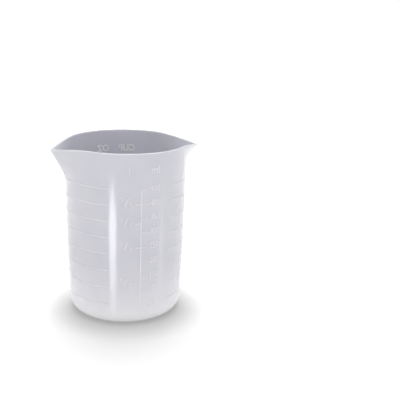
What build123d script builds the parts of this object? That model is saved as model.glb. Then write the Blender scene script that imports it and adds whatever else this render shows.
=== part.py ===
"""A graduated silicone mixing cup with two pour spouts, in millimetres.

The cup is one flexible moulding: a round wall that widens towards the mouth, a
flat foot with a soft corner, and two spouts opposite each other on the X axis.
The mouth is level between the spouts and dips towards each tip.  The scales are
raised lines on the outside of the wall.  Millilitres and litres face -Y.  The
ounce lines start from the scale line that faces +Y and run on round both flanks.
Every line sits at the height at which the cup holds its volume.

Frame: +Z up, origin at the centre of the foot, on the surface it stands on.
"""
import math
import os

from build123d import *

# Driving sizes of the moulding
cup_height = 122.0
rim_radius = 43.3  # outside of the wall at the mouth, away from the spouts
base_radius = 39.5  # outside of the wall, carried down to the foot plane
wall = 2.0
floor_thickness = 3.0
foot_round = 10.0  # outside corner between the foot and the wall
lip_bevel = 0.6  # softening of each edge of the mouth
lip_limit_share = 0.4  # most of the wall that one bevel may take

# Driving sizes of the spouts
spout_reach = 52.8  # from the cup's axis to the tip
spout_depth = 22.6  # from the level mouth down to where the ridge leaves the wall
spout_round = 5.0  # outside radius of the ridge, seen from above
spout_step = 0.02  # how far the ridge stands out where it starts
spout_levels = 6  # level cuts that shape a spout, closer together where it starts
dip_start = 35.6  # from the cup's axis to where the mouth starts to dip
dip_angle = 13.5  # degrees by which the mouth slopes down towards a tip
dip_blend = 60.0  # radius that eases the level mouth into the slope

# Driving sizes of the raised scales
relief = 0.25  # how far a line stands out from the wall
line_width = 0.8
short_tick = 4.2
long_tick = 6.0
litre_tick = 3.6
bare_front_angle = 31.0  # degrees of wall without ounce lines, each side of the front

# Volumes that the scales mark
millilitre_edge = 10.0  # edge of a cube that holds a millilitre
millilitre = millilitre_edge**3
ounce_share = 28.413  # an imperial fluid ounce over a millilitre
ounce = ounce_share * millilitre
tick_volumes = [count * millilitre for count in range(50, 500, 50)]
litre_volumes = [1000 * share * millilitre for share in (1 / 8, 1 / 4, 1 / 3, 2 / 5)]
ounce_volumes = [count * ounce for count in range(2, 18, 2)]

overrun = 8.0  # how far a shape reaches past what trims it

# Sizes and places that follow
rough_top = cup_height + overrun
taper = (rim_radius - base_radius) / cup_height
wall_across = wall * math.hypot(1, taper)  # the wall measured level
spout_start = cup_height - spout_depth
tip_height = cup_height - (spout_reach - dip_start) * math.tan(math.radians(dip_angle))
front, back = -90.0, 90.0  # degrees from +X at which the two scale lines stand


def outer_radius(z):
    """Outside of the round wall at a height."""
    return base_radius + taper * z


def inner_radius(z):
    """Inside of the round wall at a height."""
    return outer_radius(z) - wall_across


lean = (spout_reach - outer_radius(spout_start)) / (tip_height - spout_start)
ridge_across = wall * math.hypot(1, lean)  # the wall at the ridge measured level
inner_start = spout_start + (ridge_across - wall_across) / (lean - taper)


def ridge_reach(z):
    """Distance from the axis to the outside of a spout's ridge at a height."""
    return outer_radius(spout_start) + spout_step + lean * (z - spout_start)


def turned_body(radius_at, bottom, top, corner):
    """A solid of revolution with the wall's taper and a rounded lower corner."""
    outline = Polyline(
        (0, bottom), (radius_at(bottom), bottom), (radius_at(top), top), (0, top), close=True
    )
    section = make_face(Plane.XZ * outline)
    lower_corner = section.vertices().sort_by(Axis.Z)[:2].sort_by(Axis.X)[-1]
    return revolve(fillet(lower_corner, corner), Axis.Z)


def level_cut(z, radius, reach, tip):
    """The cup seen from above: two tip arcs, two wall arcs and the tangents between."""
    centre = reach - tip
    turn = math.acos((radius - tip) / centre)
    tip_x, tip_y = centre + tip * math.cos(turn), tip * math.sin(turn)
    wall_x, wall_y = radius * math.cos(turn), radius * math.sin(turn)
    half = [
        ThreePointArc((tip_x, -tip_y), (reach, 0), (tip_x, tip_y)),
        Line((tip_x, tip_y), (wall_x, wall_y)),
        ThreePointArc((wall_x, wall_y), (0, radius), (-wall_x, wall_y)),
        Line((-wall_x, wall_y), (-tip_x, tip_y)),
    ]
    return Plane.XY.offset(z) * make_face(half + [Rot(0, 0, 180) * edge for edge in half])


def spouted_body(radius_at, start, ridge_inset, tip):
    """The upper part of the cup with both spouts, carried past the mouth."""
    cuts = []
    for level in range(spout_levels + 1):
        z = start + (rough_top - start) * (level / spout_levels) ** 2
        reach = max(ridge_reach(z) - ridge_inset, radius_at(z) + spout_step)
        cuts.append(level_cut(z, radius_at(z), reach, tip))
    return loft(cuts, ruled=True)


def mouth_block():
    """Everything below the mouth: level across the middle, sloping down to each tip."""
    far = spout_reach + overrun
    low = cup_height - (far - dip_start) * math.tan(math.radians(dip_angle))
    outline = Polyline(
        (-far, -overrun),
        (-far, low),
        (-dip_start, cup_height),
        (dip_start, cup_height),
        (far, low),
        (far, -overrun),
        close=True,
    )
    section = make_face(Plane.XZ * outline)
    creases = section.vertices().sort_by(Axis.Z)[-2:]
    return extrude(fillet(creases, dip_blend), far, both=True)


def lip_edges(cup):
    """The two rings of edges, outside and inside, where the mouth was trimmed."""
    trimmed = [
        face
        for face in cup.faces()
        if face.center().Z > tip_height and face.normal_at(face.center()).Z > 0.5
    ]
    edges = ShapeList(edge for face in trimmed for edge in face.edges())
    return ShapeList(
        edge for edge in edges if sum(edge.is_same(other) for other in edges) == 1
    )


def make_cup_body():
    """The moulded shell: turned wall and foot, lofted spouts, dipped and softened mouth."""
    outside = turned_body(outer_radius, 0, spout_start, foot_round)
    outside += spouted_body(outer_radius, spout_start, 0, spout_round)
    inside = turned_body(inner_radius, floor_thickness, inner_start, foot_round - wall)
    inside += spouted_body(inner_radius, inner_start, ridge_across, spout_round - wall)
    cup = (outside - inside) & mouth_block()
    return cup.solid().chamfer(min(lip_bevel, wall * lip_limit_share), None, lip_edges(cup))


def inside_area(z):
    """Level area inside the cup at a height, the rounded corner of the floor included."""
    corner = foot_round - wall
    corner_top = floor_thickness + corner
    radius = inner_radius(z)
    if z < corner_top - corner * taper / math.hypot(1, taper):
        centre = inner_radius(corner_top) - corner * math.hypot(1, taper)
        radius = centre + math.sqrt(max(corner**2 - (corner_top - z) ** 2, 0))
    return math.pi * radius**2


def fill_height(volume):
    """Height of the surface when the cup holds a volume, found in thin slices."""
    slices = 2000
    step = (cup_height - floor_thickness) / slices
    held, z = 0.0, floor_thickness
    while held < volume and z < cup_height - line_width:
        held += inside_area(z + step / 2) * step
        z += step
    return z


def degrees_of(length, z):
    """The angle that a length covers on the wall at a height."""
    return math.degrees(length / outer_radius(z))


def raised_on_wall(outline, start, sweep):
    """A raised solid on the wall, from its upright section, a start angle and a sweep."""
    section = Rot(0, 0, start) * (Plane.XZ * make_face(Polyline(outline, close=True)))
    return revolve(section, Axis.Z, revolution_arc=sweep).solid()


def level_line(volume, start, sweep):
    """A level line at the height of a volume, with a crest along its middle."""
    middle = fill_height(volume)
    low, high = middle - line_width / 2, middle + line_width / 2
    outline = [
        (outer_radius(low), low),
        (outer_radius(middle) + relief, middle),
        (outer_radius(high), high),
    ]
    return raised_on_wall(outline, start, sweep)


line_turn = degrees_of(line_width, cup_height / 2)


def scale_line(middle, volumes):
    """An upright line past all of its marks, from the lowest to the highest."""
    low = fill_height(volumes[0]) - line_width / 2
    high = fill_height(volumes[-1]) + line_width / 2
    outline = [
        (outer_radius(low), low),
        (outer_radius(low) + relief, low),
        (outer_radius(high) + relief, high),
        (outer_radius(high), high),
    ]
    return [raised_on_wall(outline, middle - line_turn / 2, line_turn)]


def ticks(volumes, lengths, side):
    """Short level lines beside the front line, on its right for 1 and its left for -1."""
    made = []
    for volume, length in zip(volumes, lengths):
        sweep = degrees_of(length, fill_height(volume))
        start = front + line_turn / 2 if side > 0 else front - line_turn / 2 - sweep
        made.append(level_line(volume, start, sweep))
    return made


def flank_lines(start, end):
    """The ounce lines of one flank, from a start angle round to an end angle."""
    return [level_line(volume, start, end - start) for volume in ounce_volumes]


tick_lengths = [long_tick if count % 2 else short_tick for count in range(len(tick_volumes))]
nodes = {
    "cup_body": [make_cup_body()],
    "front_scale_line": scale_line(front, tick_volumes),
    "millilitre_ticks": ticks(tick_volumes, tick_lengths, 1),
    "litre_ticks": ticks(litre_volumes, [litre_tick] * len(litre_volumes), -1),
    "back_scale_line": scale_line(back, ounce_volumes),
    "ounce_lines_left": flank_lines(back + line_turn / 2, front + 360 - bare_front_angle),
    "ounce_lines_right": flank_lines(front + bare_front_angle, back - line_turn / 2),
}

os.makedirs("parts", exist_ok=True)
for name, solids in nodes.items():
    export_step(Compound(children=solids) if len(solids) > 1 else solids[0], f"parts/{name}.step")
    print(name, len(solids), "solids,", round(sum(solid.volume for solid in solids)), "mm3")
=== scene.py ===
# %% [markdown]
# A frosted silicone cup for mixing resin
#
# The real thing is one soft moulding. It has a thin round wall, two pouring spouts and
# raised scales in millilitres, litres, fluid ounces and cups. Nearly all of its look
# comes from three things: the exact curve of the mouth, the milky light inside the wall,
# and the faint raised marks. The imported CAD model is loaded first, and it stays where it
# is. Every piece that is made here is laid over it in metres, in the same frame.

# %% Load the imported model
import math

import bmesh
import bpy
from mathutils import Matrix, Vector


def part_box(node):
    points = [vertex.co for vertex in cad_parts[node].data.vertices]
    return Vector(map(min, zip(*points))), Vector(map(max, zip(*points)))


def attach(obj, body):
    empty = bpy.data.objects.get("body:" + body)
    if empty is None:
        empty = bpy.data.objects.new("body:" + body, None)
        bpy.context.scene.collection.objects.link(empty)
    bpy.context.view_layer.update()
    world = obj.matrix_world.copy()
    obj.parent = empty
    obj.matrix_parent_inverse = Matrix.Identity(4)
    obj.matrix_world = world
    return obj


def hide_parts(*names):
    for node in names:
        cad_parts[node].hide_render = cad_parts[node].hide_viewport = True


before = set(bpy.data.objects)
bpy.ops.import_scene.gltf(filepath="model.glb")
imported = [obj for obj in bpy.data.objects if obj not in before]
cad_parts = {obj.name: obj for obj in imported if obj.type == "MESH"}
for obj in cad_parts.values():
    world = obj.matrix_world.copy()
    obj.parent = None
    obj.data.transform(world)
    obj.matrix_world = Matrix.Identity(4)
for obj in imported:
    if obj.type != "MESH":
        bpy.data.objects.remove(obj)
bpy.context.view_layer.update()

# %% [markdown]
# Sizes
#
# The cup's height, its mouth and its spouts are read from the box of the CAD cup, so the
# two models can't drift apart. The other sizes are the moulding's own: a wall of 2 mm, a
# foot that is rounded by 10 mm, and a mouth that slopes down to each spout's tip.

# %% Sizes in metres
mm = 0.001
low_corner, high_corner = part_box("cup_body")
cup_height = high_corner.z - low_corner.z
rim_radius = high_corner.y
lip_bevel_loss = 0.25 * mm  # what the bevel of the CAD lip takes off a spout's tip
spout_reach = high_corner.x + lip_bevel_loss
base_radius = 39.5 * mm  # outside of the wall, carried down to the foot plane
wall = 2.0 * mm
floor_thickness = 3.0 * mm
foot_round = 10.0 * mm
spout_depth = 22.6 * mm  # from the level mouth down to where a spout leaves the wall
spout_round = 5.0 * mm  # outside radius of a spout's ridge, seen from above
spout_ease = 4.0 * mm  # how softly a spout grows out of the wall
dip_start = 35.6 * mm  # from the cup's axis to where the mouth starts to dip
dip_angle = math.radians(13.5)
dip_blend = 60.0 * mm  # radius that eases the level mouth into the slope
taper = (rim_radius - base_radius) / cup_height
front, back = math.radians(-90), math.radians(90)
print("cup height and mouth in mm:", round(cup_height / mm, 1), round(2 * rim_radius / mm, 1))


def outer_radius(z):
    """Outside of the round wall at a height."""
    return base_radius + taper * z


# %% [markdown]
# Formulas as nodes
#
# The wall could be modelled by hand with a subdivision surface, but the mouth would then
# be a guess between a few points. This cup follows a rule: from above it is a circle with
# two rounded tips and straight tangents between. Geometry Nodes can work that rule out
# for every point of a grid. A long formula is hard to read as boxes and wires, so this
# small class lets Python's own plus, minus and divide signs wire up the Math nodes.

# %% A number that a node tree works out
class Field:
    """A number per point in a node tree, which can be added, scaled and divided."""

    def __init__(self, tree, socket):
        self.tree = tree
        self.socket = socket

    def __add__(self, other):
        return maths("ADD", self, other)

    def __sub__(self, other):
        return maths("SUBTRACT", self, other)

    def __rsub__(self, other):
        return maths("SUBTRACT", other, self)

    def __mul__(self, other):
        return maths("MULTIPLY", self, other)

    def __truediv__(self, other):
        return maths("DIVIDE", self, other)


def maths(operation, *values):
    """One Math node whose inputs are fields or plain numbers."""
    tree = next(value.tree for value in values if isinstance(value, Field))
    node = tree.nodes.new("ShaderNodeMath")
    node.operation = operation
    for socket, value in zip(node.inputs, values):
        if isinstance(value, Field):
            tree.links.new(value.socket, socket)
        else:
            socket.default_value = value
    return Field(tree, node.outputs[0])


def new_tree(name, inputs, output):
    """A geometry node tree with named inputs and one output, and its inputs as fields."""
    tree = bpy.data.node_groups.new(name, "GeometryNodeTree")
    for label, kind in inputs:
        tree.interface.new_socket(label, in_out="INPUT", socket_type=kind)
    tree.interface.new_socket(output[0], in_out="OUTPUT", socket_type=output[1])
    entry = tree.nodes.new("NodeGroupInput")
    fields = {label: Field(tree, entry.outputs[label]) for label, kind in inputs}
    return tree, fields, tree.nodes.new("NodeGroupOutput")


def call(group, *values):
    """A node that runs another tree on these fields."""
    tree = next(value.tree for value in values if isinstance(value, Field))
    node = tree.nodes.new("GeometryNodeGroup")
    node.node_tree = group
    for socket, value in zip(node.inputs, values):
        if isinstance(value, Field):
            tree.links.new(value.socket, socket)
        else:
            socket.default_value = value
    return Field(tree, node.outputs[0])


# %% [markdown]
# The plan of the mouth
#
# Two little trees hold the rules of the shape. The first gives the distance from the axis
# to the wall in one direction. Near a spout's axis that is the round tip, further out it
# is the straight tangent, and past the tangent's foot it is the circle. The second gives
# the height of the mouth: level in the middle, eased into a slope towards the tips.

# %% Plan radius and mouth height
FLOAT = "NodeSocketFloat"


def plan_radius_tree():
    """Distance from the axis to the wall, seen from above, at an angle off a spout's axis."""
    names = ("Off Axis", "Round Radius", "Reach", "Tip Radius")
    inputs = [(name, FLOAT) for name in names]
    tree, given, end = new_tree("Plan Radius", inputs, ("Radius", FLOAT))
    off_axis, radius, reach, tip = (given[name] for name in names)
    centre = reach - tip
    turn = maths("ARCCOSINE", maths("MINIMUM", (radius - tip) / centre, 1.0))
    straight = radius / maths("COSINE", maths("MAXIMUM", turn - off_axis, 0.0))
    aside = centre * maths("SINE", off_axis)
    inside = maths("SQRT", maths("MAXIMUM", tip * tip - aside * aside, 0.0))
    rounded = centre * maths("COSINE", off_axis) + inside
    along = centre + tip * maths("COSINE", turn)
    tip_turn = maths("ARCTAN2", tip * maths("SINE", turn), along)
    on_tip = maths("LESS_THAN", off_axis, tip_turn)
    tree.links.new((straight + on_tip * (rounded - straight)).socket, end.inputs[0])
    return tree


def mouth_height_tree():
    """Height of the mouth at a distance along the spouts' axis."""
    names = ("Along", "Height", "Dip Start", "Dip Angle", "Dip Blend")
    inputs = [(name, FLOAT) for name in names]
    tree, given, end = new_tree("Mouth Height", inputs, ("Height", FLOAT))
    along, height, start, angle, blend = (given[name] for name in names)
    slope = maths("TANGENT", angle)
    begin = start - blend * maths("TANGENT", angle * 0.5)
    width = blend * maths("SINE", angle)
    past = maths("MAXIMUM", along - begin, 0.0)
    eased = maths("MINIMUM", past, width)
    arc_drop = blend - maths("SQRT", blend * blend - eased * eased)
    drop = arc_drop + slope * maths("MAXIMUM", past - width, 0.0)
    tree.links.new((height - drop).socket, end.inputs[0])
    return tree


plan_radius = plan_radius_tree()
mouth_height = mouth_height_tree()
print("nodes in the plan and the mouth:", len(plan_radius.nodes), len(mouth_height.nodes))

# %% [markdown]
# The moulded shell
#
# The shell is seven grids that share their edges: foot, outer corner, outer wall, lip,
# inner wall, inner corner and floor. Each grid runs round the cup in one direction and
# along the section in the other. Their points are packed more closely round the tips,
# where the curve is tight. One tree bends all seven and welds them into a closed skin,
# and its inputs are the sizes that a mould maker would write on a drawing.

# %% The tree that makes the shell
SHELL_SIZES = {
    "Height": cup_height,
    "Rim Radius": rim_radius,
    "Base Radius": base_radius,
    "Wall": wall,
    "Floor": floor_thickness,
    "Foot Round": foot_round,
    "Spout Reach": spout_reach,
    "Spout Depth": spout_depth,
    "Spout Round": spout_round,
    "Spout Ease": spout_ease,
    "Dip Start": dip_start,
    "Dip Angle": dip_angle,
    "Dip Blend": dip_blend,
}
ROUND_STEPS = 320
SECTION_STEPS = {"disc": 5, "corner": 12, "wall": 76, "lip": 14}
TIP_CROWDING = 0.85  # 0 spaces the points evenly, and near 1 they crowd at the tips
ROW_CROWDING = 1.4  # 1 spaces a wall's rows evenly, and above 1 they crowd at the mouth
RIM_TRIES = 3  # each one comes nearer to the height where a wall meets the mouth
WELD = 0.002 * mm  # points that lie closer than this become one


class ShellTree:
    """Builds the node tree of the shell, one grid for each stretch of its section."""

    def __init__(self):
        inputs = [(name, FLOAT) for name in SHELL_SIZES] + [("Finish", "NodeSocketMaterial")]
        output = ("Shell", "NodeSocketGeometry")
        self.tree, self.size, self.end = new_tree("Cup Shell", inputs, output)
        size = self.size
        self.taper = (size["Rim Radius"] - size["Base Radius"]) / size["Height"]
        self.wall_across = size["Wall"] * self.slant(self.taper)
        self.spout_start = size["Height"] - size["Spout Depth"]
        tip_height = self.mouth(size["Spout Reach"])
        self.root = self.round_radius(self.spout_start, 0.0)
        self.lean = (size["Spout Reach"] - self.root) / (tip_height - self.spout_start)
        self.ridge_across = size["Wall"] * self.slant(self.lean)
        self.strips = []

    def slant(self, rise):
        """How much longer a level cut through a leaning wall is than the wall."""
        return maths("SQRT", rise * rise + 1.0)

    def round_radius(self, z, inset):
        """Outside of the round wall at a height, less an inset."""
        return self.size["Base Radius"] + self.taper * z - inset

    def mouth(self, along):
        """Height of this cup's mouth at a distance along the spouts' axis."""
        names = ("Height", "Dip Start", "Dip Angle", "Dip Blend")
        return call(mouth_height, along, *(self.size[name] for name in names))

    def wall_radius(self, z, side):
        """Distance to the outer wall for side 0, or to the inner wall for side 1."""
        radius = self.round_radius(z, self.wall_across * side)
        ridge = self.root + self.lean * (z - self.spout_start) - self.ridge_across * side
        reach = maths("SMOOTH_MAX", ridge, radius, self.size["Spout Ease"])
        tip = self.size["Spout Round"] - self.size["Wall"] * side
        return call(plan_radius, self.off_axis, radius, reach, tip)

    def rim_height(self, side):
        """Height at which a wall meets the mouth, found by a few tries."""
        z = self.size["Height"]
        for _ in range(RIM_TRIES):
            z = self.mouth(self.wall_radius(z, side) * maths("COSINE", self.off_axis))
        return z

    def grid(self, steps):
        """A flat grid, with the angle round the cup and the share along the section."""
        tree = self.tree
        node = tree.nodes.new("GeometryNodeMeshGrid")
        for name, value in (("Size X", 1.0), ("Size Y", 1.0), ("Vertices X", ROUND_STEPS + 1)):
            node.inputs[name].default_value = value
        node.inputs["Vertices Y"].default_value = steps + 1
        place = tree.nodes.new("GeometryNodeInputPosition")
        parts = tree.nodes.new("ShaderNodeSeparateXYZ")
        tree.links.new(place.outputs[0], parts.inputs[0])
        even = (Field(tree, parts.outputs["X"]) + 0.5) * math.tau
        self.angle = even - maths("SINE", even * 2.0) * (TIP_CROWDING / 2)
        across = maths("ABSOLUTE", maths("SINE", self.angle))
        ahead = maths("ABSOLUTE", maths("COSINE", self.angle))
        self.off_axis = maths("ARCTAN2", across, ahead)
        return node.outputs["Mesh"], Field(tree, parts.outputs["Y"]) + 0.5

    def place(self, mesh, radius, z):
        """Moves a grid's points to their distance from the axis and their height."""
        tree = self.tree
        joined = tree.nodes.new("ShaderNodeCombineXYZ")
        spots = (radius * maths("COSINE", self.angle), radius * maths("SINE", self.angle), z)
        for socket, value in zip(joined.inputs, spots):
            tree.links.new(value.socket, socket)
        mover = tree.nodes.new("GeometryNodeSetPosition")
        tree.links.new(mesh, mover.inputs["Geometry"])
        tree.links.new(joined.outputs[0], mover.inputs["Position"])
        self.strips.append(mover.outputs[0])

    def disc(self, bottom, corner, side):
        """The flat of the foot, or of the floor inside."""
        mesh, share = self.grid(SECTION_STEPS["disc"])
        self.place(mesh, share * self.corner_centre(bottom, corner, side), bottom)

    def corner_centre(self, bottom, corner, side):
        """Distance from the axis to the middle of the quarter round's circle."""
        radius = self.round_radius(bottom + corner, self.wall_across * side)
        return radius - corner * self.slant(self.taper)

    def corner(self, bottom, corner, side):
        """The quarter round between the flat and the wall."""
        mesh, share = self.grid(SECTION_STEPS["corner"])
        lift = maths("ARCTANGENT", self.taper)
        turn = share * (math.pi / 2 - lift) - math.pi / 2
        radius = self.corner_centre(bottom, corner, side) + corner * maths("COSINE", turn)
        self.place(mesh, radius, bottom + corner + corner * maths("SINE", turn))

    def wall(self, bottom, corner, side):
        """The wall from the corner up to the foot of the lip, closer rows near the top."""
        mesh, share = self.grid(SECTION_STEPS["wall"])
        start = bottom + corner - corner * maths("SINE", maths("ARCTANGENT", self.taper))
        top = self.rim_height(side) - self.size["Wall"] * 0.5
        rise = 1.0 - maths("POWER", 1.0 - share, ROW_CROWDING)
        z = start + (top - start) * rise
        self.place(mesh, self.wall_radius(z, side), z)

    def lip(self):
        """The half round that joins the two walls along the mouth."""
        mesh, share = self.grid(SECTION_STEPS["lip"])
        half = self.size["Wall"] * 0.5
        edge = []
        for side in (0.0, 1.0):
            top = self.rim_height(side)
            foot_radius = self.wall_radius(top - half, side)
            edge.append((foot_radius, top - half, self.wall_radius(top, side) - foot_radius))
        (out_r, out_z, out_lean), (in_r, in_z, in_lean) = edge
        turn = share * math.pi
        across, up = maths("COSINE", turn), maths("SINE", turn)
        upright_radius = (out_r + in_r) * 0.5 + across * (out_r - in_r) * 0.5
        radius = upright_radius + up * (out_lean + in_lean) * 0.5
        z = (out_z + in_z) * 0.5 + across * (out_z - in_z) * 0.5 + up * half
        self.place(mesh, radius, z)

    def close(self):
        """Joins the strips, welds their edges and gives the skin its finish."""
        tree = self.tree
        join = tree.nodes.new("GeometryNodeJoinGeometry")
        for strip in self.strips:
            tree.links.new(strip, join.inputs[0])
        chain = [join]
        for kind in ("MergeByDistance", "SetShadeSmooth", "RealizeInstances", "SetMaterial"):
            node = tree.nodes.new("GeometryNode" + kind)
            tree.links.new(chain[-1].outputs[0], node.inputs[0])
            chain.append(node)
        chain[1].inputs["Distance"].default_value = WELD
        tree.links.new(self.size["Finish"].socket, chain[-1].inputs["Material"])
        tree.links.new(chain[-1].outputs[0], self.end.inputs[0])
        return tree


def cup_shell_tree():
    """The whole shell: the outside, the inside and the lip between them."""
    shell = ShellTree()
    size = shell.size
    ground = size["Floor"] * 0.0
    outside = (ground, size["Foot Round"], 0.0)
    inside = (size["Floor"], size["Foot Round"] - size["Wall"], 1.0)
    for bottom, corner, side in (outside, inside):
        shell.disc(bottom, corner, side)
        shell.corner(bottom, corner, side)
        shell.wall(bottom, corner, side)
    shell.lip()
    return shell.close()


# %% [markdown]
# Silicone
#
# Cast silicone is milky because light scatters inside it. Glass settings would be wrong:
# nothing can be seen through this wall, only light and shade. So the colour is a cool
# pale grey, most of the light goes under the surface, and a soft sheen lies on top. A
# mould leaves a very fine satin grain and slow, shallow waves, which break up the
# highlight. Near the foot the wall is painted paler: painted light for the light it
# gathers from the sheet it stands on. All of the cup's finishes need these effects, so
# they are one node group.

# %% The grain that the mould leaves, and the painted light at the foot
COLOUR = "NodeSocketColor"


def mixed_colour(tree, share, first, second):
    """The colour that lies a share of the way from one colour socket to another."""
    node = tree.nodes.new("ShaderNodeMix")
    node.data_type = "RGBA"
    inputs = [socket for socket in node.inputs if socket.type == "RGBA"]
    tree.links.new(share.socket, node.inputs[0])
    for source, socket in zip((first, second), inputs):
        tree.links.new(source, socket)
    return next(socket for socket in node.outputs if socket.type == "RGBA")


def grain_and_foot_light_group():
    """Shader group: relief, roughness and tint over the surface, and painted light at the foot.
    """
    group = bpy.data.node_groups.new("Grain And Painted Foot Light", "ShaderNodeTree")
    given = (
        ("Grain Scale", 2600.0),
        ("Wave Scale", 55.0),
        ("Smoothest", 0.3),
        ("Roughest", 0.4),
        ("Wave Share", 0.6),
        ("Foot Height", 55.0 * mm),
    )
    for name, value in given:
        socket = group.interface.new_socket(name, in_out="INPUT", socket_type=FLOAT)
        socket.default_value = value
    for name in ("Pale", "Deep", "Foot"):
        group.interface.new_socket(name, in_out="INPUT", socket_type=COLOUR)
    for name, kind in (("Relief", FLOAT), ("Roughness", FLOAT), ("Colour", COLOUR)):
        group.interface.new_socket(name, in_out="OUTPUT", socket_type=kind)
    entry = group.nodes.new("NodeGroupInput")
    end = group.nodes.new("NodeGroupOutput")
    spot = group.nodes.new("ShaderNodeTexCoord")
    noises = []
    for name, detail in (("Grain Scale", 2.0), ("Wave Scale", 3.0)):
        noise = group.nodes.new("ShaderNodeTexNoise")
        noise.inputs["Detail"].default_value = detail
        group.links.new(spot.outputs["Object"], noise.inputs["Vector"])
        group.links.new(entry.outputs[name], noise.inputs["Scale"])
        noises.append(noise.outputs["Fac"])
    grain, wave = (Field(group, socket) for socket in noises)
    relief = grain + (wave - grain) * Field(group, entry.outputs["Wave Share"])
    group.links.new(relief.socket, end.inputs["Relief"])
    smooth, rough = (Field(group, entry.outputs[name]) for name in ("Smoothest", "Roughest"))
    group.links.new((smooth + (rough - smooth) * wave).socket, end.inputs["Roughness"])
    parts = group.nodes.new("ShaderNodeSeparateXYZ")
    group.links.new(spot.outputs["Object"], parts.inputs[0])
    height = Field(group, parts.outputs["Z"]) / Field(group, entry.outputs["Foot Height"])
    # Painted light: towards the foot the colour turns to the pale Foot colour.
    low = 1.0 - maths("MINIMUM", maths("MAXIMUM", height, 0.0), 1.0)
    colour = mixed_colour(group, wave, entry.outputs["Pale"], entry.outputs["Deep"])
    colour = mixed_colour(group, low * low, colour, entry.outputs["Foot"])
    group.links.new(colour, end.inputs["Colour"])
    return group


grain_and_foot_light = grain_and_foot_light_group()


# %% [markdown]
# Three finishes share the grain. Light goes deep into the wall, which makes it milky and
# a little dark. It hardly enters a thin raised mark, so the marks are paler, with less
# grain, and that is why they can be read at all; their paler colour is painted light.
# The third finish is the palest, a painted backlight. It is for the units on the back as
# they show inside the cup, with the light of the room behind them painted into them.

# %% The silicone finishes
# Painted light: the wall is painted this pale at the foot, for light gathered from the sheet.
painted_foot_light = (0.97, 0.97, 0.985)
silicone_ior = 1.41
scattered_share = 0.6  # how much of the light that enters spreads under the surface
grain_height = 0.1 * mm  # height of the relief at its full strength


def silicone(name, pale, deep, smoothest, roughest, relief, depth):
    """A milky silicone with its own colours, painted foot light, sheen, grain and scattering."""
    material = bpy.data.materials.new(name)
    material.use_nodes = True
    nodes, links = material.node_tree.nodes, material.node_tree.links
    skin = nodes["Principled BSDF"]
    grain = nodes.new("ShaderNodeGroup")
    grain.node_tree = grain_and_foot_light
    grain.inputs["Pale"].default_value = (*pale, 1)
    grain.inputs["Deep"].default_value = (*deep, 1)
    grain.inputs["Foot"].default_value = (*painted_foot_light, 1)
    grain.inputs["Smoothest"].default_value = smoothest
    grain.inputs["Roughest"].default_value = roughest
    bump = nodes.new("ShaderNodeBump")
    bump.inputs["Strength"].default_value = relief
    bump.inputs["Distance"].default_value = grain_height
    links.new(grain.outputs["Colour"], skin.inputs["Base Color"])
    links.new(grain.outputs["Roughness"], skin.inputs["Roughness"])
    links.new(grain.outputs["Relief"], bump.inputs["Height"])
    links.new(bump.outputs["Normal"], skin.inputs["Normal"])
    skin.inputs["IOR"].default_value = silicone_ior
    skin.inputs["Subsurface Weight"].default_value = scattered_share
    skin.inputs["Subsurface Radius"].default_value = (1.0, 1.0, 1.0)
    skin.inputs["Subsurface Scale"].default_value = depth
    return material


cup_silicone = silicone(
    "Cup Silicone",
    pale=(0.71, 0.705, 0.75),
    deep=(0.655, 0.655, 0.71),
    smoothest=0.12,
    roughest=0.16,
    relief=0.25,
    depth=2.0 * mm,
)
mark_surface = dict(smoothest=0.15, roughest=0.2, relief=0.15, depth=0.05 * mm)
# Painted light: the marks' paler colour stands in for the light that they catch.
raised_painted_light_silicone = silicone(
    "Raised Painted Light Silicone", pale=(0.88, 0.88, 0.92), deep=(0.84, 0.84, 0.89), **mark_surface
)
# Painted light: the inside faces of the back units are painted pale for the light behind.
backlit_painted_silicone = silicone(
    "Painted Backlight Silicone", pale=(0.98, 0.98, 0.99), deep=(0.96, 0.96, 0.98), **mark_surface
)

# %% [markdown]
# The cup itself
#
# The tree runs as a modifier on an empty mesh. Its inputs are set by their identifiers
# before the object is evaluated, and the result is then kept as a plain mesh.

# %% Make the cup
root_collection = bpy.context.scene.collection


def keep_result(piece):
    """Turns what an object's modifiers make into its own mesh and removes them."""
    bpy.context.view_layer.update()
    evaluated = piece.evaluated_get(bpy.context.evaluated_depsgraph_get())
    made = bpy.data.meshes.new_from_object(evaluated)
    piece.modifiers.clear()
    piece.data = made
    return made


def face_outwards(mesh):
    """Points every face of a closed skin outwards, and counts its open edges."""
    skin = bmesh.new()
    skin.from_mesh(mesh)
    bmesh.ops.recalc_face_normals(skin, faces=skin.faces)
    open_edges = sum(not edge.is_manifold for edge in skin.edges)
    skin.to_mesh(mesh)
    skin.free()
    return open_edges


def make_cup():
    """The cup as one closed skin, over the CAD cup."""
    cup = bpy.data.objects.new("cup", bpy.data.meshes.new("cup"))
    root_collection.objects.link(cup)
    modifier = cup.modifiers.new("Cup Shell", "NODES")
    modifier.node_group = cup_shell_tree()
    values = dict(SHELL_SIZES, Finish=cup_silicone)
    for item in modifier.node_group.interface.items_tree:
        if item.in_out == "INPUT":
            modifier[item.identifier] = values[item.name]
    mesh = keep_result(cup)
    print("cup faces:", len(mesh.polygons), "open edges:", face_outwards(mesh))
    return cup


cup = make_cup()
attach(cup, "root")
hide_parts("cup_body")

# %% [markdown]
# The raised lines
#
# The scale lines come from the CAD model, because their shape and height are right there.
# They only need the raised finish in place of their plain one.

# %% Finish the CAD lines
scale_nodes = (
    "front_scale_line",
    "millilitre_ticks",
    "litre_ticks",
    "back_scale_line",
    "ounce_lines_left",
    "ounce_lines_right",
)
for name in scale_nodes:
    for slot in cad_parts[name].material_slots:
        slot.material = raised_painted_light_silicone

# %% [markdown]
# Numbers and units
#
# A mould maker stamps the numbers with plain punches. Each one is a text object, thickened
# and softened at its edges, turned into a mesh and then wrapped round the tapered wall:
# the distance along the line of text becomes an angle, and its thickness a distance from
# the axis. The two units on the back were punched deeper, so they also show, mirrored,
# through the milky wall inside the cup.

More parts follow.
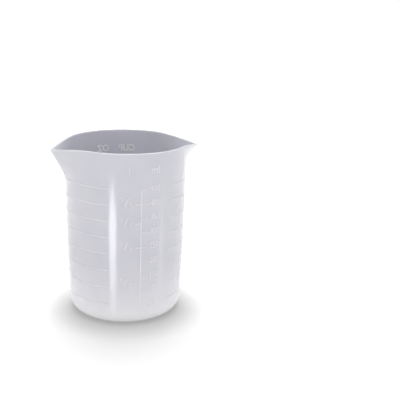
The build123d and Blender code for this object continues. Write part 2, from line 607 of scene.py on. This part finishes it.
# %% Text that wraps round the wall
cap_share = 0.729  # height of a capital over the size of the font
letter_relief = 0.25 * mm
letter_root = 0.15 * mm  # how deep a letter's foot sits in the wall
letter_round = 0.06 * mm
letter_bold = 0.08 * mm  # how much a punch thickens each stroke, on each side
fraction_bold = -0.08 * mm  # the small punches cut finer strokes
deep_bold = 0.17 * mm  # the units on the back have broad strokes
letter_steps = 6  # straight pieces in each bend of a letter


def flat_text(words, height, narrow, align, bold):
    """Text as a mesh that lies flat, with its thickness along Z."""
    curve = bpy.data.curves.new("letters", "FONT")
    curve.body = words
    curve.size = height / cap_share
    curve.align_x = align
    curve.extrude = 0.5 * (letter_relief + letter_root) - letter_round
    curve.bevel_depth = letter_round
    curve.bevel_resolution = 1
    curve.offset = bold - letter_round
    curve.resolution_u = letter_steps
    carrier = bpy.data.objects.new("letters", curve)
    mesh = bpy.data.meshes.new_from_object(carrier)
    bpy.data.objects.remove(carrier)
    for vertex in mesh.vertices:
        vertex.co.x *= narrow
    return mesh


def wrap(mesh, angle, z, deep):
    """Bends flat text onto the wall at an angle and a height, and sinks its foot into it."""
    middle = 0.5 * (letter_relief - letter_root)
    for vertex in mesh.vertices:
        along, up, out = vertex.co
        height = z + up
        if deep and out < 0:
            out -= wall + letter_relief - letter_root
        radius = outer_radius(height) + middle + out
        turn = angle + along / outer_radius(z)
        vertex.co = (radius * math.cos(turn), radius * math.sin(turn), height)


def paint_backlight_inside(mesh):
    """Gives the faces on the inside of the cup the palest colour, a painted backlight."""
    mesh.materials.append(backlit_painted_silicone)
    for face in mesh.polygons:
        inside = face.center.xy.length < outer_radius(face.center.z) - wall / 2
        face.material_index = int(inside)


def label_piece(name, labels, bold=letter_bold, deep=False):
    """One piece of many labels, each given as words, height, narrowing, align, angle and z."""
    joined = bmesh.new()
    for words, height, narrow, align, angle, z in labels:
        mesh = flat_text(words, height, narrow, align, bold)
        wrap(mesh, angle, z, deep)
        joined.from_mesh(mesh)
        bpy.data.meshes.remove(mesh)
    bmesh.ops.remove_doubles(joined, verts=joined.verts, dist=WELD)
    bmesh.ops.recalc_face_normals(joined, faces=joined.faces)
    mesh = bpy.data.meshes.new(name)
    joined.to_mesh(mesh)
    joined.free()
    mesh.materials.append(raised_painted_light_silicone)
    if deep:
        paint_backlight_inside(mesh)
    piece = bpy.data.objects.new(name, mesh)
    root_collection.objects.link(piece)
    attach(piece, "root")
    print(name, len(mesh.polygons), "faces")


# %% [markdown]
# Where the labels stand
#
# A mark stands where the cup holds its volume. The heights are taken from the CAD lines
# themselves: a CAD node's points are sorted by height, a gap between them starts a new
# line, and the middle of each line is the height of its label.

# %% Heights of the marks
line_gap = 1.0 * mm  # a line is thinner than this, and two lines are further apart


def line_heights(name):
    """Middle heights of a node's separate lines, from the lowest to the highest."""
    heights = sorted(vertex.co.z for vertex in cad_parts[name].data.vertices)
    groups = [[heights[0]]]
    for z in heights[1:]:
        if z - groups[-1][-1] > line_gap:
            groups.append([])
        groups[-1].append(z)
    return [(group[0] + group[-1]) / 2 for group in groups]


millilitre_heights = line_heights("millilitre_ticks")
litre_heights = line_heights("litre_ticks")
ounce_heights = line_heights("ounce_lines_left")
print("marks:", len(millilitre_heights), len(litre_heights), len(ounce_heights))

# %% [markdown]
# The labels
#
# Millilitres read on the right of the front line, parts of a litre on its left. A fraction
# is two small numbers with a bar that slants between them. On the back, ounces stand on
# one side of the line and cups on the other, above the lines that run round the cup.

# %% Make the labels
number_height = 4.6 * mm
fraction_height = 4.2 * mm
unit_height = 5.4 * mm
number_narrow = 0.72
number_gap = 6.3 * mm  # from the middle of the front line to the numbers
fraction_gap = 5.4 * mm
unit_gap = 6.2 * mm
number_rise = -1.2 * mm  # from a tick's middle to the foot of its number
unit_foot = 108.4 * mm
back_unit_height = 5.0 * mm
back_unit_foot = 106.1 * mm
litre_unit_gap = 8.3 * mm
unit_narrow, litre_unit_narrow, back_unit_narrow = 0.9, 0.45, 1.0
digit_share = 0.62  # room that a digit takes along the wall, over its height
# Top, bar and bottom of a fraction: size, widening, digits from the right end, and rise
fraction_parts = ((1.0, 1.0, 2.9, 0.3), (1.5, 1.5, 1.7, -0.3), (1.0, 1.0, 0.5, -0.55))
litre_parts = (("1", "8"), ("1", "4"), ("1", "3"), ("2", "5"))


def along_wall(length, z):
    """The angle that a length covers on the wall."""
    return length / outer_radius(z)


def fraction(top, bottom, right_end, z):
    """The three labels of a fraction whose right end lies at an angle."""
    digit = along_wall(digit_share * fraction_height, z)
    labels = []
    for words, (size, widen, digits, rise) in zip((top, "/", bottom), fraction_parts):
        place = (right_end - digits * digit, z + rise * fraction_height)
        labels.append((words, size * fraction_height, widen, "CENTER", *place))
    return labels


millilitre_labels = [
    (
        str(50 * (count + 1)),
        number_height,
        number_narrow,
        "LEFT",
        front + along_wall(number_gap, z),
        z + number_rise,
    )
    for count, z in enumerate(millilitre_heights)
]
litre_labels = []
for (top, bottom), z in zip(litre_parts, litre_heights):
    litre_labels += fraction(top, bottom, front - along_wall(fraction_gap, z), z)
unit_angle = front + along_wall(unit_gap, unit_foot)
litre_unit_angle = front - along_wall(litre_unit_gap, unit_foot)
unit_labels = [
    ("ml", unit_height, unit_narrow, "LEFT", unit_angle, unit_foot),
    ("l", unit_height, litre_unit_narrow, "CENTER", litre_unit_angle, unit_foot),
]
label_piece("millilitre_numbers", millilitre_labels)
label_piece("litre_fractions", litre_labels, bold=fraction_bold)
label_piece("front_units", unit_labels)

ounce_angle, cup_angle = back + math.radians(10.3), back - math.radians(15.1)
back_rise = 1.0 * mm  # from a line's middle to the foot of the number on it
cup_numbers = ((1, "1/2"), (3, "1"), (5, "1 1/2"))  # which ounce line each stands on
ounce_labels = [
    (str(2 * (count + 1)), number_height, number_narrow, "CENTER", ounce_angle, z + back_rise)
    for count, z in enumerate(ounce_heights[:-1])
]
cup_labels = [
    (words, number_height, number_narrow, "CENTER", cup_angle, ounce_heights[line] + back_rise)
    for line, words in cup_numbers
]
back_units = [
    ("OZ", back_unit_height, back_unit_narrow, "CENTER", ounce_angle, back_unit_foot),
    ("CUP", back_unit_height, back_unit_narrow, "CENTER", cup_angle, back_unit_foot),
]
label_piece("ounce_numbers", ounce_labels)
label_piece("cup_fractions", cup_labels)
label_piece("back_units", back_units, bold=deep_bold, deep=True)

# %% [markdown]
# The floor
#
# The cup stands on a pale sheet that fades to plain white. To the eye the sheet is a
# mid grey with a glow added, so that its open part is just white while the shadow keeps
# its depth. Near the foot a painted contact shadow darkens the sheet's seen colour. The
# light that it throws back on the cup is that of white card. Mirrored and transmitted rays
# see the same sheet as the eye.

# %% Floor and surroundings
sheet_radius = 6.0  # metres, so that its edge is out of sight
sheet_corners = 96  # enough to look round
sheet_roughness = 0.9
sheet_white, sheet_seen = 0.9, 0.72  # the sheet's colour for light, and for the eye
sheet_glow = 0.38
# Painted shadow: an occlusion node darkens the seen sheet near the foot by these two.
painted_contact_shadow_depth = 1.6  # how strongly the contact shadow is deepened
shadow_reach = 28 * mm  # how far from the foot the contact shadow is deepened
fade_start, fade_end = 140 * mm, 380 * mm  # where the seen sheet turns into plain white
horizon_light, zenith_light = 0.85, 0.5  # how strongly the sky lights the cup


def seen_directly(tree):
    """1 for the rays of the eye, of mirrors and of clear glass, and 0 for light that spreads."""
    path = tree.nodes.new("ShaderNodeLightPath")
    kinds = ("Camera", "Glossy", "Transmission")
    eye, mirror, glass = (Field(tree, path.outputs[f"Is {kind} Ray"]) for kind in kinds)
    return maths("MAXIMUM", maths("MAXIMUM", eye, mirror), glass)


def white_for_sight(tree, paper):
    """Gives a paper its seen colour, a painted contact shadow and a glow only direct sight
    finds.
    """
    seen = seen_directly(tree)
    # A painted contact shadow: occlusion darkens the sheet's seen colour near the foot.
    painted_contact_shadow = tree.nodes.new("ShaderNodeAmbientOcclusion")
    painted_contact_shadow.inputs["Distance"].default_value = shadow_reach
    shade = maths("POWER", Field(tree, painted_contact_shadow.outputs["AO"]), painted_contact_shadow_depth) * sheet_seen
    tone = tree.nodes.new("ShaderNodeCombineColor")
    for socket in tone.inputs:
        tree.links.new((seen * (shade - sheet_white) + sheet_white).socket, socket)
    tree.links.new(tone.outputs[0], paper.inputs["Base Color"])
    spot = tree.nodes.new("ShaderNodeTexCoord")
    away = tree.nodes.new("ShaderNodeVectorMath")
    away.operation = "LENGTH"
    tree.links.new(spot.outputs["Object"], away.inputs[0])
    past = (Field(tree, away.outputs["Value"]) - fade_start) / (fade_end - fade_start)
    fade = maths("MINIMUM", maths("MAXIMUM", past, 0.0), 1.0)
    light = tree.nodes.new("ShaderNodeEmission")
    glow = seen * (fade * (1.0 - sheet_glow) + sheet_glow)
    tree.links.new(glow.socket, light.inputs["Strength"])
    both = tree.nodes.new("ShaderNodeAddShader")
    tree.links.new(paper.outputs[0], both.inputs[0])
    tree.links.new(light.outputs[0], both.inputs[1])
    return both.outputs[0]


def make_floor():
    """A wide round sheet at the height of the foot."""
    sheet = bmesh.new()
    bmesh.ops.create_circle(sheet, cap_ends=True, segments=sheet_corners, radius=sheet_radius)
    mesh = bpy.data.meshes.new("floor")
    sheet.to_mesh(mesh)
    sheet.free()
    material = bpy.data.materials.new("Pale Sheet")
    material.use_nodes = True
    tree = material.node_tree
    paper = tree.nodes["Principled BSDF"]
    paper.inputs["Roughness"].default_value = sheet_roughness
    paper.inputs["Specular IOR Level"].default_value = 0.0
    tree.links.new(white_for_sight(tree, paper), tree.nodes["Material Output"].inputs["Surface"])
    mesh.materials.append(material)
    floor = bpy.data.objects.new("floor", mesh)
    root_collection.objects.link(floor)
    return floor


floor = make_floor()
print("floor radius in m:", sheet_radius)


def make_sky():
    """A sky that is pure white to the eye, and as a light dimmer above than around."""
    world = bpy.data.worlds.new("Studio")
    bpy.context.scene.world = world
    world.use_nodes = True
    tree = world.node_tree
    sky = tree.nodes["Background"]
    sky.inputs["Color"].default_value = (1, 1, 1, 1)
    ray = tree.nodes.new("ShaderNodeTexCoord")
    parts = tree.nodes.new("ShaderNodeSeparateXYZ")
    tree.links.new(ray.outputs["Generated"], parts.inputs[0])
    up = maths("MAXIMUM", Field(tree, parts.outputs["Z"]), 0.0)
    light = up * (zenith_light - horizon_light) + horizon_light
    strength = light + seen_directly(tree) * (1.0 - light)
    tree.links.new(strength.socket, sky.inputs["Strength"])


make_sky()

# %% [markdown]
# Where the camera stands
#
# The camera was fitted to the cup's outline in the picture. Its place is settled before
# the lamps, because the long highlights depend on where the cup is seen from.

# %% The camera's place and lens
picture_size = 400
focal_pixels = 791.5
sensor_width = 36.0
camera_azimuth = math.radians(14.16)
camera_distance = 541.1 * mm
camera_height = 234.4 * mm
camera_place = Vector(
    (
        -camera_distance * math.sin(camera_azimuth),
        -camera_distance * math.cos(camera_azimuth),
        camera_height,
    )
)
print("camera stands at, in mm:", [round(value / mm) for value in camera_place])

# %% [markdown]
# Lamps
#
# The white surroundings do most of the work. A wide lamp above and behind brightens the
# lip, leaves the inside of the far wall in shade and pulls the soft shadow forwards. A
# weak lamp low in front stands for a bright room behind the camera: it picks out the
# raised marks and has no reflection of its own.
#
# The wall leans out a little and is seen from above, so what it mirrors lies on the floor
# in front of it. Two wedges of light lie there, each laid where one upright line of the
# wall mirrors it into the camera, and they give the long highlights that tell the eye how
# smooth the wall is. They are seen in reflections alone, so they don't burn out the wall.

# %% Place the lamps
overhead_place = (0.1, 0.4, 0.97)
overhead_width, overhead_power = 0.6, 7.0
fill_rise = 0.06  # height of the low fill, a metre from the cup
fill_width, fill_power = 0.1, 1.0
wedge_reach = 280 * mm
wedge_start = 2 * mm  # bare floor between the wall and a wedge
wedge_lift = 1 * mm  # height of a wedge over the floor
wedge_growth = 1.5  # above 1 the strips get longer outwards
strip_shares = (0.12, 0.22, 0.5, 0.7, 0.85, 0.95)  # brightness from the cup outwards
strip_width_shares = (1.0, 1.0, 1.0, 1.0, 1.0, 0.6)  # the last strip tapers the highlight
main_facing, side_facing = math.radians(243.9), math.radians(291.9)  # the lines that shine
main_spread, side_spread = math.radians(16), math.radians(7)
main_power, side_power = 42, 9.5  # watts per square metre


def soft_lamp(name, place, target, width, power, mirrored=True):
    """A square lamp that looks at a point, and that shows in reflections unless told not to."""
    light = bpy.data.lights.new(name, "AREA")
    light.size = width
    light.energy = power
    lamp = bpy.data.objects.new(name, light)
    lamp.location = place
    lamp.rotation_euler = (Vector(target) - Vector(place)).to_track_quat("-Z", "Y").to_euler()
    lamp.visible_camera = False
    lamp.visible_glossy = mirrored
    root_collection.objects.link(lamp)


def wedge_of_light(name, facing, spread, power):
    """Strips of light on the floor that one upright line of the wall mirrors to the camera."""
    normal = Vector((math.cos(facing), math.sin(facing)))
    foot = outer_radius(cup_height / 2) * normal
    to_camera = (camera_place.xy - foot).normalized()
    away = 2 * normal.dot(to_camera) * normal - to_camera
    turn = math.atan2(away.y, away.x)
    near = wedge_start
    for count, (share, width_share) in enumerate(zip(strip_shares, strip_width_shares), 1):
        far = wedge_reach * (count / len(strip_shares)) ** wedge_growth
        light = bpy.data.lights.new(name, "AREA")
        light.shape = "RECTANGLE"
        light.size, light.size_y = far - near, width_share * spread * (near + far) / 2
        light.energy = power * share * light.size * light.size_y
        strip = bpy.data.objects.new(name, light)
        strip.location = (*(foot + away * (near + far) / 2), wedge_lift)
        strip.rotation_euler = (math.pi, 0, turn)
        strip.visible_camera = False
        strip.visible_diffuse = False
        strip.visible_transmission = False
        root_collection.objects.link(strip)
        near = far


middle = (0, 0, cup_height / 2)
low_front = (*camera_place.xy.normalized(), fill_rise)
soft_lamp("Overhead", overhead_place, middle, overhead_width, overhead_power)
soft_lamp("Low Fill", low_front, middle, fill_width, fill_power, mirrored=False)
wedge_of_light("Main Strip", main_facing, main_spread, main_power)
wedge_of_light("Side Strip", side_facing, side_spread, side_power)

# %% [markdown]
# Camera
#
# The camera stands half a metre away and 11 cm above the mouth. It is turned aside, so
# that the cup sits left of the middle, and it leans a little, as a hand-held one does.

# %% Place the camera
camera_pitch, camera_yaw, camera_roll = (math.radians(angle) for angle in (15.92, 5.58, 1.75))


def make_camera():
    """The camera at its fitted place, yaw, pitch and roll."""
    data = bpy.data.cameras.new("camera")
    data.sensor_width = sensor_width
    data.sensor_fit = "HORIZONTAL"
    data.lens = sensor_width * focal_pixels / picture_size
    data.clip_start = 0.01
    data.clip_end = 100
    cos_yaw, sin_yaw = math.cos(camera_yaw), math.sin(camera_yaw)
    cos_pitch, sin_pitch = math.cos(camera_pitch), math.sin(camera_pitch)
    ahead = Vector((sin_yaw * cos_pitch, cos_yaw * cos_pitch, -sin_pitch))
    right = Vector((cos_yaw, -sin_yaw, 0))
    up = Vector((sin_yaw * sin_pitch, cos_yaw * sin_pitch, cos_pitch))
    cos_roll, sin_roll = math.cos(camera_roll), math.sin(camera_roll)
    axes = (right * cos_roll + up * sin_roll, up * cos_roll - right * sin_roll, -ahead)
    turn = Matrix(axes).transposed().to_4x4()
    place = Matrix.Translation(camera_place)
    camera = bpy.data.objects.new("camera", data)
    camera.matrix_world = place @ Matrix.Rotation(-camera_azimuth, 4, "Z") @ turn
    root_collection.objects.link(camera)
    bpy.context.scene.camera = camera
    print("lens in mm:", round(data.lens, 1))


make_camera()
bpy.context.scene.view_settings.view_transform = "Standard"
